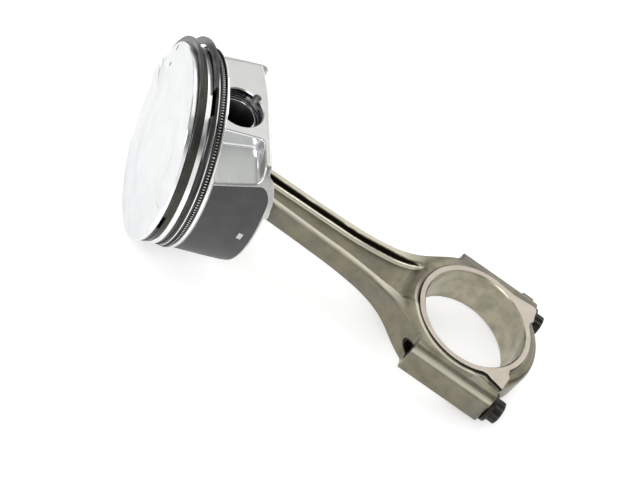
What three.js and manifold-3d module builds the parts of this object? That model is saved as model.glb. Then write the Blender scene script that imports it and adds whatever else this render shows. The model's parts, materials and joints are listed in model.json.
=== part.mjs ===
// Piston, rings, wrist pin and connecting rod of a four-stroke engine, lying on their side.
// Millimetres, +Z up. The assembly lies on the plane z = 0, with its long side along X.
//
// Two local frames share one origin, the centre of the wrist pin:
//   rod frame     +x along the rod to the big end, +z along the wrist pin
//   piston frame  +x to the thrust skirt, +y along the wrist pin, +z to the crown

import * as THREE from 'three';
import { mergeVertices } from 'three/addons/utils/BufferGeometryUtils.js';
import Module from 'manifold-3d';

const wasm = await Module();
wasm.setup();

const { degToRad } = THREE.MathUtils;

// ---- driving dimensions -------------------------------------------------------------------

const CYLINDER_RADIUS = 46;        // piston and cylinder bore, 92 mm across
const ROD_CENTRES = 142;           // wrist pin centre to crankpin centre
const PIN_RADIUS = 11;
const RUNNING_GAP = 0.1;           // radial play between parts that turn on each other
const SEAT_GAP = 0.15;             // gap on each side of a fixed joint face
const ROUND = 60;                  // flats round a large circle
const SMALL_ROUND = 32;            // flats round a small circle
const THROUGH = 20;                // half length of a cutter that goes right through the rod

// How the assembly lies: the swing of the piston on its pin, and the tilt of the whole rod.
const PISTON_SWING = degToRad(28.5);
const LIE_ROLL = degToRad(-1.86);
const LIE_PITCH = degToRad(10.95);

// Heights along the piston's axis, above the wrist pin's centre.
const piston = {
  crown: 27,
  dishFloor: 26.1,
  dishRadius: 29,
  edgeChamfer: 0.6,
  beltBottom: 9.6,
  skirtBottom: -20,
  skirtChamferTop: -18.2,
  skirtChamfer: 1.4,
  bossBottom: -14.6,
  grooveRoot: 41.3,
  oilGrooveRoot: 42.2,
  reliefDepth: 0.35,
  bossFace: 34.4,
  skirtSplit: 33.5,
};

// The hollow under the crown: radii and heights of its bell, and half widths of its three bays.
const hollow = {
  skirtRadius: 42.8,
  skirtTop: 5.5,
  beltRadius: 38.3,
  beltHeight: 10,
  roof: 19.5,
  roofBevel: 3,
  rodBay: 10.8,
  thrustBay: 23,
  plainBay: 29,
  bossHalf: 14,
};

// Ring grooves from the crown down, as [top, bottom] heights.
const grooves = { top: [24.4, 22.7], second: [17.75, 16.05], oil: [14.1, 11.1] };
const reliefs = { top: 20.1, second: 14.8 };   // lower ends of the relieved lands under the rings
const RING_SIDE_PLAY = 0.1;

// Rings are in their free state: larger than the cylinder, and shifted sideways in their grooves.
const ringShift = degToRad(142);
const rings = {
  top: { radius: 47.4, width: 3.3, shift: 1.9, gap: 8.7, gapAngle: degToRad(-3) },
  second: { radius: 48.1, width: 3.5, shift: 2.8, gap: 13.5, gapAngle: degToRad(71) },
  rail: { radius: 46.7, width: 2.7, shift: 0.6, gap: 5, thickness: 0.5 },
  expander: { radius: 45.5, width: 2.7, shift: 0, gap: 0.6, thickness: 1.65 },
};
const UPPER_RAIL_GAP_ANGLE = degToRad(200);
const LOWER_RAIL_GAP_ANGLE = degToRad(-110);
const EXPANDER_GAP_ANGLE = degToRad(225);

const pocket = { side: 15.5, floor: 26.5, bottom: -11 };   // weight pocket beside each boss
const valvePocket = { radius: 17, reach: 32, spread: 19, depth: 1.1, tilt: degToRad(2.5) };
const drainHole = { radius: 1.1, angles: [28, 52, 128, 152, 208, 232, 308, 332].map(degToRad) };

const pin = { halfLength: 29.4, bore: 6.5, mouth: 8.6, mouthDepth: 9, chamfer: 0.8 };
const clip = {
  wire: 0.8,
  radius: 11.45,
  seat: 30.9,
  play: 0.2,
  grooveRadius: 12.4,
  openingAngle: degToRad(225),
  opening: degToRad(50),
};
const clipNotch = { radius: 1.9, reach: 12.0 };
const bush = { radius: 12.6, halfLength: 10 };

const smallEnd = { radius: 16.5, halfWidth: 10.3 };
const beam = { halfThickness: 6.5, halfWeb: 2.2, flange: 3.5, recessStart: 19, recessHalfWidth: 11.5 };
// Half width of the beam along the rod, flaring into the bolt bosses.
const beamFlare = [
  [8, 8.6],
  [30, 9.1],
  [48, 9.5],
  [60, 9.9],
  [80, 10.9],
  [91, 12.3],
  [99, 14.5],
  [104.5, 16.6],
  [113.5, 22.2],
  [119, 25.8],
  [124, 29.5],
];
const bigEnd = {
  bore: 25.75,
  thrustRadius: 28.8,
  halfWidth: 11.2,
  bodyRadius: 32.5,
  bodyHalf: 9.6,
  capRadius: 34.4,
  capHalf: 8.6,
};
// Corners of the ear on the cap, along and across the rod from the crankpin's centre.
const capEarOutline = [[8, 22], [11.5, 24.7], [24.4, 28.2], [24.9, 18], [23.5, 13], [14, 16]];
const boltBoss = { start: -18.5, end: 24.5, outer: 36, flatHalf: 6, half: 9.6, inner: 20, shoulder: 33.8 };
const bolt = {
  offset: 30.4,
  shank: 3.85,
  chamfer: 0.8,
  hole: 4.05,
  threadEnd: -18.5,
  notchEnd: -25,
  flangeRadius: 7.4,
  seatPlay: 0.6,
  flangeTop: 2.4,
  headRadius: 5.9,
  headFlat: 5.35,
  headTop: 6.9,
  socketRadius: 2.6,
  socketDepth: 2.8,
  points: 12,
};

// ---- colours ------------------------------------------------------------------------------

function metal(color, roughness, metalness = 1) {
  return new THREE.MeshStandardMaterial({ color, roughness, metalness });
}

const materials = {
  aluminium: metal(0xd3d4d4, 0.38),
  ringIron: metal(0x35363a, 0.4),
  railSteel: metal(0xa4a39a, 0.3),
  pinSteel: metal(0x8b8d90, 0.2),
  clipSteel: metal(0x1c1c1f, 0.45),
  bronze: metal(0xa9854d, 0.35),
  rodSteel: metal(0x85806f, 0.42),
  boltSteel: metal(0x191a1b, 0.5),
};

// ---- solids -------------------------------------------------------------------------------

function toSolid(geometry) {
  const bare = geometry.clone();
  bare.deleteAttribute('normal');
  bare.deleteAttribute('uv');
  const merged = mergeVertices(bare, 1e-4);
  const vertProperties = Float32Array.from(merged.attributes.position.array);
  const triVerts = Uint32Array.from(merged.index.array);
  return new wasm.Manifold(new wasm.Mesh({ numProp: 3, vertProperties, triVerts }));
}

function toGeometry(solid) {
  const mesh = solid.getMesh();
  const geometry = new THREE.BufferGeometry();
  geometry.setAttribute('position', new THREE.BufferAttribute(mesh.vertProperties, 3));
  geometry.setIndex(new THREE.BufferAttribute(mesh.triVerts, 1));
  geometry.computeVertexNormals();
  return geometry;
}

function joined(solids) {
  return solids.reduce((whole, solid) => whole.add(solid));
}

function without(solid, cuts) {
  return cuts.reduce((rest, cut) => rest.subtract(cut), solid);
}

// A box from its lowest and highest corners.
function block([x0, y0, z0], [x1, y1, z1]) {
  const geometry = new THREE.BoxGeometry(x1 - x0, y1 - y0, z1 - z0);
  geometry.translate((x0 + x1) / 2, (y0 + y1) / 2, (z0 + z1) / 2);
  return toSolid(geometry);
}

// A closed [radius, height] profile, upwards on its outside, turned about z.
function turned(profile, segments = ROUND) {
  const points = profile.map(([radius, height]) => new THREE.Vector2(radius, height));
  const geometry = new THREE.LatheGeometry(points, segments);
  geometry.rotateX(Math.PI / 2);
  return geometry;
}

function tubeProfile(inner, outer, half, chamfer) {
  return [
    [inner, -half],
    [outer - chamfer, -half],
    [outer, -half + chamfer],
    [outer, half - chamfer],
    [outer - chamfer, half],
    [inner, half],
    [inner, -half],
  ];
}

// A cylinder about z from one height to another.
function post(radius, low, high, segments = ROUND) {
  return turned([[0, low], [radius, low], [radius, high], [0, high]], segments);
}

// The same cylinder about x or about y.
function postAlongX(radius, low, high, segments = SMALL_ROUND) {
  return post(radius, low, high, segments).rotateY(Math.PI / 2);
}

function postAlongY(radius, low, high, segments = ROUND) {
  return post(radius, low, high, segments).rotateX(-Math.PI / 2);
}

// An outline in the x-y plane, as thick as twice its half thickness about z = 0.
function slab(shape, half, curveSegments = 24) {
  const options = { depth: 2 * half, bevelEnabled: false, curveSegments };
  const geometry = new THREE.ExtrudeGeometry(shape, options);
  geometry.translate(0, 0, -half);
  return toSolid(geometry);
}

function polygon(points) {
  return new THREE.Shape(points.map(([x, y]) => new THREE.Vector2(x, y)));
}

// ---- piston, in the piston frame ------------------------------------------------------------

function pistonBlank() {
  const { crown, dishFloor, dishRadius, edgeChamfer, grooveRoot, oilGrooveRoot, reliefDepth } = piston;
  const relieved = CYLINDER_RADIUS - reliefDepth;
  return toSolid(turned([
    [0, piston.skirtBottom],
    [CYLINDER_RADIUS - piston.skirtChamfer, piston.skirtBottom],
    [CYLINDER_RADIUS, piston.skirtChamferTop],
    [CYLINDER_RADIUS, grooves.oil[1]],
    [oilGrooveRoot, grooves.oil[1]],
    [oilGrooveRoot, grooves.oil[0]],
    [CYLINDER_RADIUS, grooves.oil[0]],
    [CYLINDER_RADIUS, reliefs.second],
    [relieved, grooves.second[1]],
    [grooveRoot, grooves.second[1]],
    [grooveRoot, grooves.second[0]],
    [CYLINDER_RADIUS, grooves.second[0]],
    [CYLINDER_RADIUS, reliefs.top],
    [relieved, reliefs.top],
    [relieved, grooves.top[1]],
    [grooveRoot, grooves.top[1]],
    [grooveRoot, grooves.top[0]],
    [CYLINDER_RADIUS, grooves.top[0]],
    [CYLINDER_RADIUS, crown - edgeChamfer],
    [CYLINDER_RADIUS - edgeChamfer, crown],
    [dishRadius + 2, crown],
    [dishRadius, dishFloor],
    [0, dishFloor],
  ]));
}

// The hollow under the crown: a slot between the bosses for the rod, and a space behind each skirt.
function pistonHollow() {
  const { skirtRadius, skirtTop, beltRadius, beltHeight, roof, roofBevel } = hollow;
  const { rodBay, thrustBay, plainBay, bossHalf } = hollow;
  const low = piston.skirtBottom - 1;
  const bell = toSolid(turned([
    [0, low],
    [skirtRadius, low],
    [skirtRadius, skirtTop],
    [beltRadius, beltHeight],
    [beltRadius, roof - roofBevel],
    [beltRadius - roofBevel, roof],
    [0, roof],
  ]));
  const bays = joined([
    block([-CYLINDER_RADIUS, -rodBay, low], [CYLINDER_RADIUS, rodBay, roof]),
    block([bossHalf, -thrustBay, low], [CYLINDER_RADIUS, thrustBay, roof]),
    block([-CYLINDER_RADIUS, -plainBay, low], [-bossHalf, plainBay, roof]),
  ]);
  return bell.intersect(bays);
}

// The flat boss faces, the weight pockets beside them and the step between boss and skirt.
function pistonSideCuts() {
  const { beltBottom, bossFace, bossBottom, skirtBottom, skirtSplit } = piston;
  const wide = CYLINDER_RADIUS + 1;
  const cuts = [block([-skirtSplit, -wide, skirtBottom - 1], [skirtSplit, wide, bossBottom])];
  for (const side of [-1, 1]) {
    const flat = [side * bossFace, side * wide].sort((a, b) => a - b);
    const hole = [side * pocket.floor, side * wide].sort((a, b) => a - b);
    cuts.push(block([-wide, flat[0], skirtBottom - 1], [wide, flat[1], beltBottom]));
    cuts.push(block([pocket.side, hole[0], pocket.bottom], [wide, hole[1], beltBottom]));
  }
  return cuts;
}

// The pin bore with a clip groove at each end and a notch to pry each clip out.
function pinBoreCuts() {
  const { bossFace } = piston;
  const cuts = [toSolid(postAlongY(PIN_RADIUS + RUNNING_GAP, -bossFace - 1, bossFace + 1))];
  const notchX = clipNotch.reach * Math.cos(clip.openingAngle);
  const notchZ = clipNotch.reach * Math.sin(clip.openingAngle);
  for (const side of [-1, 1]) {
    const seat = side * clip.seat;
    const groove = clip.wire + clip.play;
    cuts.push(toSolid(postAlongY(clip.grooveRadius, seat - groove, seat + groove)));
    const ends = [side * (clip.seat - clip.wire), side * (bossFace + 1)].sort((a, b) => a - b);
    cuts.push(toSolid(postAlongY(clipNotch.radius, ends[0], ends[1], 16).translate(notchX, 0, notchZ)));
  }
  return cuts;
}

// Two shallow valve pockets on each thrust side of the crown.
function valvePockets() {
  const cuts = [];
  for (const end of [-1, 1]) {
    for (const side of [-1, 1]) {
      const cutter = post(valvePocket.radius, 0, 6, SMALL_ROUND);
      cutter.rotateY(end * valvePocket.tilt);
      cutter.translate(end * valvePocket.reach, side * valvePocket.spread, piston.crown - valvePocket.depth);
      cuts.push(toSolid(cutter));
    }
  }
  return cuts;
}

function oilDrains() {
  const height = (grooves.oil[0] + grooves.oil[1]) / 2;
  return drainHole.angles.map((angle) => {
    const drill = postAlongX(drainHole.radius, hollow.beltRadius - 1, CYLINDER_RADIUS, 10);
    return toSolid(drill.rotateZ(angle).translate(0, 0, height));
  });
}

function buildPiston() {
  const cuts = [pistonHollow(), ...pistonSideCuts(), ...pinBoreCuts(), ...valvePockets(), ...oilDrains()];
  return toGeometry(without(pistonBlank(), cuts));
}

// ---- rings, in the piston frame, each about its own centre -----------------------------------

// A split ring: a flat annulus from z = 0 up, with a gap centred on the given angle.
function splitRing({ radius, width, gap, gapAngle, thickness }) {
  const halfGap = gap / (2 * radius);
  const start = gapAngle + halfGap;
  const end = gapAngle + 2 * Math.PI - halfGap;
  const shape = new THREE.Shape();
  shape.absarc(0, 0, radius, start, end, false);
  shape.absarc(0, 0, radius - width, end, start, true);
  shape.closePath();
  // An arc gets two flats for each curve segment.
  const options = { depth: thickness, bevelEnabled: false, curveSegments: ROUND / 2 };
  return new THREE.ExtrudeGeometry(shape, options);
}

function ringCentre(shift) {
  return new THREE.Vector3(shift * Math.cos(ringShift), shift * Math.sin(ringShift), 0);
}

// A ring that fills its groove but for the side play.
function grooveRing(size, [top, bottom]) {
  const thickness = top - bottom - 2 * RING_SIDE_PLAY;
  return { geometry: splitRing({ ...size, thickness }), height: bottom + RING_SIDE_PLAY, shift: size.shift };
}

// ---- wrist pin, clips and bush, about their own z axis ---------------------------------------

function buildPin() {
  const { halfLength, bore, mouth, mouthDepth, chamfer } = pin;
  return turned([
    [bore, -halfLength + mouthDepth],
    [mouth, -halfLength],
    [PIN_RADIUS - chamfer, -halfLength],
    [PIN_RADIUS, -halfLength + chamfer],
    [PIN_RADIUS, halfLength - chamfer],
    [PIN_RADIUS - chamfer, halfLength],
    [mouth, halfLength],
    [bore, halfLength - mouthDepth],
    [bore, -halfLength + mouthDepth],
  ]);
}

class ClipCurve extends THREE.Curve {
  getPoint(t, target = new THREE.Vector3()) {
    const angle = clip.openingAngle + clip.opening / 2 + t * (2 * Math.PI - clip.opening);
    return target.set(clip.radius * Math.cos(angle), 0, clip.radius * Math.sin(angle));
  }
}

// A round-wire clip, open over the notch in the boss.
function buildClip() {
  const wire = new THREE.Shape();
  wire.absarc(0, 0, clip.wire, 0, 2 * Math.PI, false);
  return new THREE.ExtrudeGeometry(wire, { extrudePath: new ClipCurve(), steps: 36, curveSegments: 4 });
}

function buildBush() {
  return turned(tubeProfile(PIN_RADIUS + RUNNING_GAP, bush.radius, bush.halfLength, 0.4));
}

// ---- connecting rod and cap, in the rod frame --------------------------------------------------

function flareCurve(side, inset, from) {
  const corners = beamFlare.filter(([x]) => x >= from);
  return new THREE.SplineCurve(corners.map(([x, y]) => new THREE.Vector2(x, side * (y - inset))));
}

// The beam's outline, or its recess's when inset by the flange's thickness.
function beamShape(inset = 0, from = 0) {
  const steps = 30;
  const upper = flareCurve(1, inset, from).getPoints(steps);
  const lower = flareCurve(-1, inset, from).getPoints(steps).reverse();
  return new THREE.Shape([...upper, ...lower]);
}

function beamRecess(side) {
  const { halfWeb, halfThickness, flange, recessStart, recessHalfWidth } = beam;
  const depth = halfThickness - halfWeb + 1;
  const shape = beamShape(flange, recessStart);
  const geometry = new THREE.ExtrudeGeometry(shape, { depth, bevelEnabled: false });
  geometry.translate(0, 0, side > 0 ? halfWeb : -halfWeb - depth);
  const widest = block([0, -recessHalfWidth, -THROUGH], [ROD_CENTRES, recessHalfWidth, THROUGH]);
  return without(toSolid(geometry).intersect(widest), [aroundCrank(bigEnd.bodyRadius, THROUGH)]);
}

function aroundCrank(radius, half) {
  return toSolid(post(radius, -half, half).translate(ROD_CENTRES, 0, 0));
}

// One bolt boss: a bar along the rod with its outer corners bevelled.
function boss(side) {
  const { start, end, outer, flatHalf, half, inner, shoulder } = boltBoss;
  const section = polygon([
    [inner, -half],
    [shoulder, -half],
    [outer, -flatHalf],
    [outer, flatHalf],
    [shoulder, half],
    [inner, half],
  ]);
  const geometry = new THREE.ExtrudeGeometry(section, { depth: end - start, bevelEnabled: false });
  geometry.rotateX(Math.PI / 2).rotateZ(Math.PI / 2);
  geometry.translate(ROD_CENTRES + start, 0, 0);
  if (side < 0) geometry.rotateX(Math.PI);
  return toSolid(geometry);
}

// The hole runs on past the shoulder, where it cuts a notch into the flank of the beam.
function boltHole(side) {
  const from = ROD_CENTRES + bolt.notchEnd;
  const to = ROD_CENTRES + boltBoss.end + 1;
  return toSolid(postAlongX(bolt.hole, from, to).translate(0, side * bolt.offset, 0));
}

function crankBore() {
  return aroundCrank(bigEnd.bore, THROUGH);
}

// The room on one side of the split between rod and cap.
function splitSide(side) {
  const far = 2 * ROD_CENTRES;
  const [low, high] = [side * SEAT_GAP, side * far].sort((a, b) => a - b);
  return block([ROD_CENTRES + low, -far, -THROUGH], [ROD_CENTRES + high, far, THROUGH]);
}

function buildRod() {
  const forging = joined([
    toSolid(post(smallEnd.radius, -smallEnd.halfWidth, smallEnd.halfWidth)),
    slab(beamShape(), beam.halfThickness),
    aroundCrank(bigEnd.bodyRadius, bigEnd.bodyHalf),
    aroundCrank(bigEnd.thrustRadius, bigEnd.halfWidth),
    boss(1),
    boss(-1),
  ]);
  const bushSeat = toSolid(post(bush.radius + SEAT_GAP, -THROUGH, THROUGH));
  const cuts = [beamRecess(1), beamRecess(-1), bushSeat, crankBore(), boltHole(1), boltHole(-1)];
  return toGeometry(without(forging, cuts).intersect(splitSide(-1)));
}

// The machined ear that carries a bolt head, flush with the thrust face.
function capEar(side) {
  const shape = polygon(capEarOutline.map(([x, y]) => [ROD_CENTRES + x, side * y]));
  return slab(shape, bigEnd.halfWidth);
}

function buildCap() {
  const forging = joined([
    aroundCrank(bigEnd.capRadius, bigEnd.capHalf),
    aroundCrank(bigEnd.thrustRadius, bigEnd.halfWidth),
    capEar(1),
    capEar(-1),
    boss(1),
    boss(-1),
  ]);
  const spotFaces = [1, -1].map((side) => {
    const seat = ROD_CENTRES + boltBoss.end;
    const radius = bolt.flangeRadius + bolt.seatPlay;
    return toSolid(postAlongX(radius, seat, seat + THROUGH).translate(0, side * bolt.offset, 0));
  });
  const cuts = [crankBore(), boltHole(1), boltHole(-1), ...spotFaces];
  return toGeometry(without(forging, cuts).intersect(splitSide(1)));
}

// A flanged bolt about its own z axis, with its flange's seat at z = 0 and its thread below.
function buildBolt() {
  const { shank, chamfer, flangeRadius, flangeTop, headRadius, headFlat, headTop, points } = bolt;
  const length = boltBoss.end - bolt.threadEnd;
  const body = toSolid(turned([
    [0, -length],
    [shank - chamfer, -length],
    [shank, -length + chamfer],
    [shank, 0],
    [flangeRadius, 0],
    [flangeRadius, flangeTop - chamfer],
    [headRadius, flangeTop],
    [0, flangeTop],
  ], SMALL_ROUND));
  const star = [];
  for (let step = 0; step < 2 * points; step += 1) {
    const angle = (step * Math.PI) / points;
    const radius = step % 2 === 0 ? headRadius : headFlat;
    star.push([radius * Math.cos(angle), radius * Math.sin(angle)]);
  }
  const from = flangeTop - chamfer;
  const head = new THREE.ExtrudeGeometry(polygon(star), { depth: headTop - from, bevelEnabled: false });
  const socket = toSolid(post(bolt.socketRadius, headTop - bolt.socketDepth, headTop + 1, 12));
  return toGeometry(body.add(toSolid(head.translate(0, 0, from))).subtract(socket));
}

// ---- assembly --------------------------------------------------------------------------------

function place(group, name, geometry, material, position, rotation = [0, 0, 0]) {
  const mesh = new THREE.Mesh(geometry, material.clone());
  mesh.name = name;
  mesh.position.set(...position);
  mesh.rotation.set(...rotation);
  group.add(mesh);
}

function placeRing(group, name, ring, material) {
  const centre = ringCentre(ring.shift);
  place(group, name, ring.geometry, material, [centre.x, centre.y, ring.height]);
}

function addRings(group) {
  const { oil } = grooves;
  const { rail, expander } = rings;
  const upperRail = splitRing({ ...rail, gapAngle: UPPER_RAIL_GAP_ANGLE });
  const lowerRail = splitRing({ ...rail, gapAngle: LOWER_RAIL_GAP_ANGLE });
  const middle = splitRing({ ...expander, gapAngle: EXPANDER_GAP_ANGLE });
  const upperHeight = oil[0] - RING_SIDE_PLAY - rail.thickness;
  const lowerHeight = oil[1] + RING_SIDE_PLAY;
  const middleHeight = (oil[0] + oil[1] - expander.thickness) / 2;
  placeRing(group, 'top_compression_ring', grooveRing(rings.top, grooves.top), materials.ringIron);
  placeRing(group, 'second_compression_ring', grooveRing(rings.second, grooves.second), materials.ringIron);
  const oilPieces = [
    ['oil_ring_upper_rail', upperRail, rail.shift, upperHeight],
    ['oil_ring_expander', middle, expander.shift, middleHeight],
    ['oil_ring_lower_rail', lowerRail, rail.shift, lowerHeight],
  ];
  for (const [name, geometry, shift, height] of oilPieces) {
    placeRing(group, name, { geometry, shift, height }, materials.railSteel);
  }
}

function buildPistonGroup() {
  const group = new THREE.Group();
  const sin = Math.sin(PISTON_SWING);
  const cos = Math.cos(PISTON_SWING);
  const thrust = new THREE.Vector3(sin, -cos, 0);
  const along = new THREE.Vector3(0, 0, 1);
  const up = new THREE.Vector3(-cos, -sin, 0);
  group.quaternion.setFromRotationMatrix(new THREE.Matrix4().makeBasis(thrust, along, up));
  place(group, 'piston', buildPiston(), materials.aluminium, [0, 0, 0]);
  addRings(group);
  place(group, 'wrist_pin', buildPin(), materials.pinSteel, [0, 0, 0], [Math.PI / 2, 0, 0]);
  place(group, 'circlip_front', buildClip(), materials.clipSteel, [0, clip.seat, 0]);
  place(group, 'circlip_rear', buildClip(), materials.clipSteel, [0, -clip.seat, 0]);
  return group;
}

function buildRodGroup() {
  const group = new THREE.Group();
  const seat = ROD_CENTRES + boltBoss.end + SEAT_GAP;
  const towardsCap = [0, Math.PI / 2, 0];
  place(group, 'connecting_rod', buildRod(), materials.rodSteel, [0, 0, 0]);
  place(group, 'rod_cap', buildCap(), materials.rodSteel, [0, 0, 0]);
  place(group, 'small_end_bush', buildBush(), materials.bronze, [0, 0, 0]);
  place(group, 'rod_bolt_near', buildBolt(), materials.boltSteel, [seat, -bolt.offset, 0], towardsCap);
  place(group, 'rod_bolt_far', buildBolt(), materials.boltSteel, [seat, bolt.offset, 0], towardsCap);
  return group;
}

const assembly = new THREE.Group();
const rodFrame = buildRodGroup();
rodFrame.add(buildPistonGroup());
rodFrame.rotation.set(LIE_ROLL, LIE_PITCH, 0);
assembly.add(rodFrame);

// Centred over the origin in plan, with the lowest point on the plane z = 0.
const bounds = new THREE.Box3().setFromObject(assembly, true);
const middle = bounds.getCenter(new THREE.Vector3());
rodFrame.position.set(-middle.x, -middle.y, -bounds.min.z);

export default assembly;
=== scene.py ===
"""Looks of the piston and connecting rod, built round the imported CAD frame.

Shapes are worked out in millimetres in two local frames that share the wrist pin's centre:
  rod frame     +x along the rod to the big end, +z along the wrist pin towards the viewer
  piston frame  +x to the thrust skirt, +y along the wrist pin, +z to the crown
Forged and cast bodies are surfaces of distance fields, with smooth fillets. Machined faces are
cut into them with exact turned or straight cutters.
"""

import json
import math

import bpy
import numpy as np
from mathutils import Matrix, Vector


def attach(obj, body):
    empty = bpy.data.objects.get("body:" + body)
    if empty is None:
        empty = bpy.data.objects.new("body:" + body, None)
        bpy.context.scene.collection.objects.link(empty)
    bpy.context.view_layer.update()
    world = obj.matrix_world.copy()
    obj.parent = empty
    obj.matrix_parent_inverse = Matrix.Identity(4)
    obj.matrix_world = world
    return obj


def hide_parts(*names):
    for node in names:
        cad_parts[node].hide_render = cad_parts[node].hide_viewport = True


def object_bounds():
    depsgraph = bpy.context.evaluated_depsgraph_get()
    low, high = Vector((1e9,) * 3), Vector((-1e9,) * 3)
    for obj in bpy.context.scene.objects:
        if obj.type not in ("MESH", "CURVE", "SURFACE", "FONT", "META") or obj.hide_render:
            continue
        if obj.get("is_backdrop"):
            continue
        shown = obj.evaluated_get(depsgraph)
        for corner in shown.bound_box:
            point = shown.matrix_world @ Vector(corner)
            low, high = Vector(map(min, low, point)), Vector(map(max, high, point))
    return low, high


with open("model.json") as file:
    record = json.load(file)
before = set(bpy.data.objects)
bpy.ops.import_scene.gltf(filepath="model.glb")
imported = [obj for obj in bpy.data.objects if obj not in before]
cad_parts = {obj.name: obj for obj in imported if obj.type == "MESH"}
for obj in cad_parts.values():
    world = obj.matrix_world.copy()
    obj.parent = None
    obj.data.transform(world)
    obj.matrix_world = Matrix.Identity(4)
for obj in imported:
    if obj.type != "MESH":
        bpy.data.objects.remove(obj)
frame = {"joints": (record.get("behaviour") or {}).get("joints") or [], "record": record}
cad_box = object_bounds()
record = frame["record"]
joints = {j["name"]: j for j in frame["joints"]}
mounts = {m["name"]: m for m in record["mounts"]}

MM = 0.001

# ---- sizes, mm ----

# Piston frame: heights are above the wrist pin's centre.
CYLINDER = 45.95  # radius of the running surface
CROWN = 27.0
BELT_BOTTOM = 9.6  # underside of the ring belt
SKIRT_BOTTOM = -20.0
BOSS_FACE = 34.4  # from the rod's middle plane to a boss's outer face
GROOVE_ROOT = 41.3
TOP_GROOVE = (22.7, 24.4)
SECOND_GROOVE = (16.05, 17.75)
OIL_GROOVE = (11.1, 14.1)
TOP_RELIEF = 20.05  # the land above the second groove is cut back from here up
SECOND_RELIEF = 14.75  # and the land below it from here up
PIN = 11.0  # radius
CLIP_AT = 30.9  # from the rod's middle plane to a circlip

# Rod frame: x starts at the wrist pin's centre.
CENTRES = 142.0
THRUST_HALF = 11.2  # half thickness over the thrust faces
BORE = 25.75  # radius of the crankpin bore
BOLT_OFFSET = 30.4  # of a bolt's axis from the rod's middle line
SEAT_CUT = 24.5  # the cap's bolt seats lie this far beyond the split plane
BOLT_SEAT = SEAT_CUT + 0.1
PITCH = 1.25  # of the bolts' threads
EYE_BORE = 12.62
SPLIT_GAP = 0.03  # of rod and cap, each from the split plane

FIELD_STEP = 0.5  # grid on which distance fields become surfaces

# ---- local frames ----


def basis(origin, x, y, z):
    """Matrix from local millimetres to the row frame's metres."""
    turn = Matrix((x, y, z)).transposed().to_4x4()
    return Matrix.Translation(origin) @ turn @ Matrix.Scale(MM, 4)


pin_centre = Vector(joints["piston_swing"]["pos_m"])
pin_axis = Vector(joints["piston_swing"]["axis"]).normalized()
to_big_end = Vector(mounts["big_end_front_face"]["pos_m"]) - pin_centre
along_rod = (to_big_end - pin_axis * to_big_end.dot(pin_axis)).normalized()
piston_up = Vector(joints["top_ring_turn"]["axis"]).normalized()

ROD = basis(pin_centre, along_rod, pin_axis.cross(along_rod), pin_axis)
PISTON = basis(pin_centre, pin_axis.cross(piston_up), pin_axis, piston_up)


def ring_frame(joint):
    """The piston frame moved to that ring's own centre, at the pin's height."""
    centre = Vector(joints[joint]["pos_m"])
    centre -= piston_up * (centre - pin_centre).dot(piston_up)
    place = PISTON.copy()
    place.translation = centre
    return place


# ---- distance fields ----


def soft_min(a, b, blend):
    """The smaller of two distances, with a fillet of about that size where they meet."""
    h = np.clip(0.5 + 0.5 * (b - a) / blend, 0, 1)
    return b + (a - b) * h - blend * h * (1 - h)


def soft_max(a, b, blend):
    """The larger of two distances, with a rounded edge of about that size."""
    return -soft_min(-a, -b, blend)


def smooth_step(x, start, end):
    """Rises smoothly from 0 at start to 1 at end."""
    t = np.clip((x - start) / (end - start), 0, 1)
    return t * t * (3 - 2 * t)


def smooth_curve(points):
    """A function through the given points, with a smooth slope."""
    xs, ys = np.array(points, float).T
    slopes = np.gradient(ys, xs)
    fine = np.linspace(xs[0], xs[-1], 800)
    k = np.clip(np.searchsorted(xs, fine) - 1, 0, len(xs) - 2)
    gap = xs[k + 1] - xs[k]
    t = (fine - xs[k]) / gap
    rise = (2 * t**3 - 3 * t**2 + 1) * ys[k] + (3 * t**2 - 2 * t**3) * ys[k + 1]
    bend = (t**3 - 2 * t**2 + t) * gap * slopes[k] + (t**3 - t**2) * gap * slopes[k + 1]
    return lambda x: np.interp(x, fine, rise + bend)


def polygon_field(x, y, corners):
    """Signed distance to a closed polygon, negative inside."""
    distance = np.full(np.shape(x), np.inf)
    inside = np.zeros(np.shape(x), bool)
    for (ax, ay), (bx, by) in zip(corners, corners[1:] + corners[:1]):
        dx, dy = bx - ax, by - ay
        t = np.clip(((x - ax) * dx + (y - ay) * dy) / (dx * dx + dy * dy), 0, 1)
        distance = np.minimum(distance, np.hypot(x - ax - t * dx, y - ay - t * dy))
        if dy:
            crosses = (ay > y) != (by > y)
            inside ^= crosses & (x < ax + (y - ay) * dx / dy)
    return np.where(inside, -distance, distance)


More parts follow.
